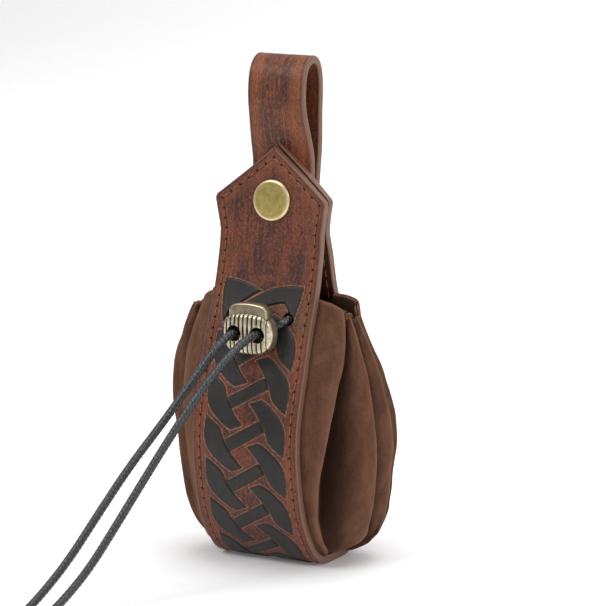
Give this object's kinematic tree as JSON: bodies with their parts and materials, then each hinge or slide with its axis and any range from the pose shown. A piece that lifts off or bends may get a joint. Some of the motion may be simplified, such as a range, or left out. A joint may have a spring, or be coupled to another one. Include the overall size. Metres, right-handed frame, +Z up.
{
  "type": "drawstring dice bag",
  "caption": "Belt-worn leather and suede pouch with a snap flap, a drawstring mouth with a push-button cord lock, and a belt loop.",
  "frame": {"origin": "on the surface that the bag stands on, under the middle of the bag without its free cords", "axes": "+Z up through the belt loop, -Y out of the flap with the snap, +X to the right seen from the front"},
  "size_m": [0.0802, 0.1971, 0.184],
  "materials": {
    "leather": "reddish-brown aniline leather with darker vertical streaks, painted edges and a black painted plait",
    "leather_lining": "plain reddish-brown lining leather",
    "suede": "dark brown soft suede with a fine nap",
    "cord": "black waxed round cord",
    "snap_brass": "antique brass, satin",
    "lock_metal": "antique brass plate with dark grooves",
    "spring_steel": "bright spring wire"
  },
  "bodies": {
    "bag": {"strip_outer": "leather", "strip_lining": "leather_lining", "belt_loop": "leather", "gusset_left": "suede", "gusset_right": "suede", "mouth_casing_left": "suede", "mouth_casing_right": "suede", "drawstring_loop": "cord", "cord_left": "cord", "cord_right": "cord", "cord_knot_left": "cord", "cord_knot_right": "cord", "snap_stud": "snap_brass", "snap_eyelet": "snap_brass"},
    "flap": {"flap_outer": "leather", "flap_lining": "leather_lining", "snap_cap": "snap_brass", "snap_socket": "snap_brass", "snap_spring": "spring_steel"},
    "lock": {"lock_body": "lock_metal", "lock_spring": "spring_steel"},
    "button": {"lock_button": "lock_metal"}
  },
  "joints": [
    {"name": "flap_fold", "type": "hinge", "parent": "bag", "child": "flap", "pos_m": [0, -0.01227, 0.104], "axis": [1, 0, 0], "range_deg": [0, 100]},
    {"name": "lock_slide", "type": "slide", "parent": "bag", "child": "lock", "axis": [0, -1, 0], "range_m": [0, 0.006]},
    {"name": "button_press", "type": "slide", "parent": "lock", "child": "button", "axis": [0, 0, -1], "range_m": [0, 0.0018], "stiffness_N_per_m": 600, "springref_m": -0.002, "deforming": ["lock_spring"]}
  ]
}
